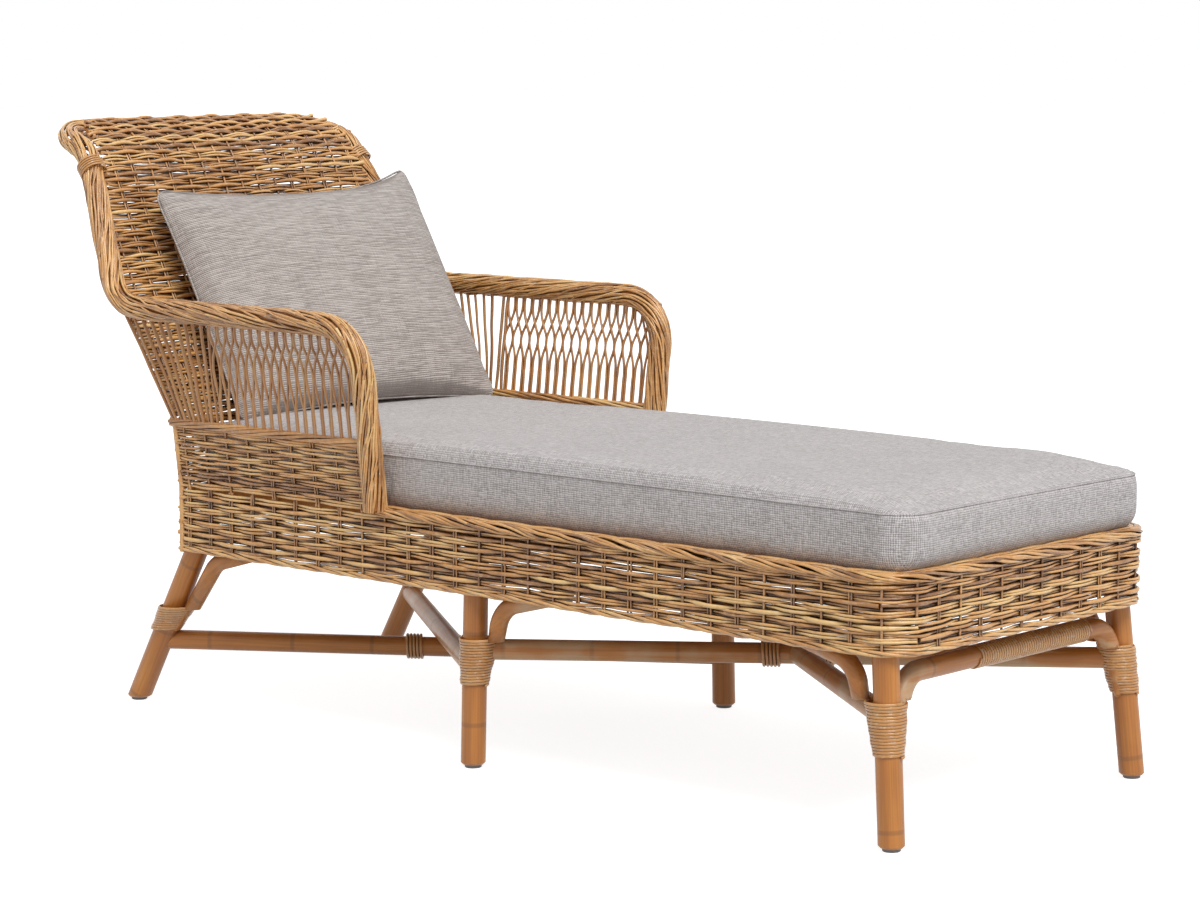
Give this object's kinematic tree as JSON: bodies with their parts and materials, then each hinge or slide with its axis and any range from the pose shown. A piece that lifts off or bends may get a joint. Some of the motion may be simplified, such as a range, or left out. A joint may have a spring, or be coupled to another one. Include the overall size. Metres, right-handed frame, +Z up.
{
  "type": "rattan chaise longue",
  "caption": "Woven rattan chaise longue with a raked rolled-over back, lattice arms, crossed stretchers and a loose seat cushion and pillow.",
  "frame": {"origin": "on the floor, at the middle of the outline seen from above", "axes": "+X towards the foot end, +Y to the sitter's left, +Z up"},
  "size_m": [1.806, 0.756, 0.9674],
  "materials": {
    "rattan_pole": "satin lacquered rattan pole",
    "woven_cane": "natural woven cane",
    "binding_cane": "wound binding cane",
    "seat_fabric": "grey slub weave",
    "pillow_fabric": "grey slub weave",
    "glide": "moulded"
  },
  "bodies": {
    "frame": {"apron_front": "woven_cane", "apron_left": "woven_cane", "apron_rear": "woven_cane", "apron_right": "woven_cane", "arm_border_left": "woven_cane", "arm_border_right": "woven_cane", "arm_lattice_left": "woven_cane", "arm_lattice_right": "woven_cane", "arm_mid_rail_left": "woven_cane", "arm_mid_rail_right": "woven_cane", "arm_pole_left": "rattan_pole", "arm_pole_right": "rattan_pole", "arm_weave_left": "woven_cane", "arm_weave_right": "woven_cane", "back_lower_rail": "woven_cane", "back_panel": "woven_cane", "brace_front_left": "rattan_pole", "brace_front_right": "rattan_pole", "brace_mid_left": "rattan_pole", "brace_mid_right": "rattan_pole", "brace_rear_left": "rattan_pole", "brace_rear_right": "rattan_pole", "crest_border": "woven_cane", "crest_pole": "rattan_pole", "crest_tie_left": "binding_cane", "crest_tie_right": "binding_cane", "cross_rail_front": "rattan_pole", "cross_rail_mid": "rattan_pole", "cross_rail_rear": "rattan_pole", "crossing_wrap_front": "binding_cane", "crossing_wrap_rear": "binding_cane", "foot_glides": "glide", "front_hoop": "rattan_pole", "hoop_wrap": "binding_cane", "leg_bindings": "binding_cane", "leg_front_left": "rattan_pole", "leg_front_right": "rattan_pole", "leg_mid_left": "rattan_pole", "leg_mid_right": "rattan_pole", "leg_rear_left": "rattan_pole", "leg_rear_right": "rattan_pole", "rim_pole_front": "rattan_pole", "rim_pole_left": "rattan_pole", "rim_pole_rear": "rattan_pole", "rim_pole_right": "rattan_pole", "seat_bearer_left": "rattan_pole", "seat_bearer_right": "rattan_pole", "seat_slats": "rattan_pole", "side_rail_front_left": "rattan_pole", "side_rail_front_right": "rattan_pole", "side_rail_rear_left": "rattan_pole", "side_rail_rear_right": "rattan_pole", "stretcher_front_a": "rattan_pole", "stretcher_front_b": "rattan_pole", "stretcher_rear_lower": "rattan_pole", "stretcher_rear_upper": "rattan_pole"},
    "seat_cushion_body": {"seat_cushion": "seat_fabric"},
    "pillow_body": {"pillow": "pillow_fabric"}
  },
  "joints": [
    {"name": "seat_cushion_lift", "type": "slide", "parent": "frame", "child": "seat_cushion_body", "axis": [0, 0, 1], "range_m": [0, 0.35]},
    {"name": "pillow_lift", "type": "slide", "parent": "seat_cushion_body", "child": "pillow_body", "axis": [0, 0, 1], "range_m": [0, 0.45]}
  ]
}
